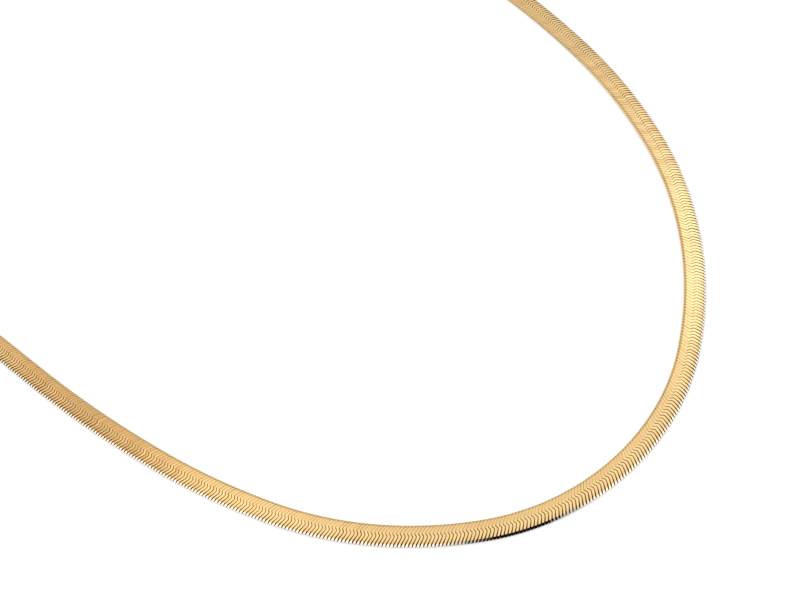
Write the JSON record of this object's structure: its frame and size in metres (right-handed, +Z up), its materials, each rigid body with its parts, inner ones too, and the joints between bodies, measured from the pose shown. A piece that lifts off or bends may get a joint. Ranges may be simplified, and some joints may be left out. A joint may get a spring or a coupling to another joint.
{
  "type": "herringbone neck chain",
  "caption": "Flat woven herringbone neck chain, closed with a lobster clasp and lying as an oval loop.",
  "frame": {"origin": "middle of the loop's box, on the surface that the chain lies on", "axes": "+Z up, out of the flat side of the chain; +Y towards the clasp at the back of the loop; -Y towards the front of the neck"},
  "size_m": [0.1446, 0.2064, 0.0031],
  "materials": {
    "woven_gold": "bright gold links, pressed flat and polished, with fine dark gaps between them",
    "polished_gold": "smooth bright gold"
  },
  "bodies": {
    "root": {"herringbone_chain": "woven_gold", "end_tip_left": "polished_gold", "end_tip_right": "polished_gold", "jump_ring_left": "polished_gold", "jump_ring_right": "polished_gold", "lobster_clasp": "polished_gold"}
  },
  "joints": []
}
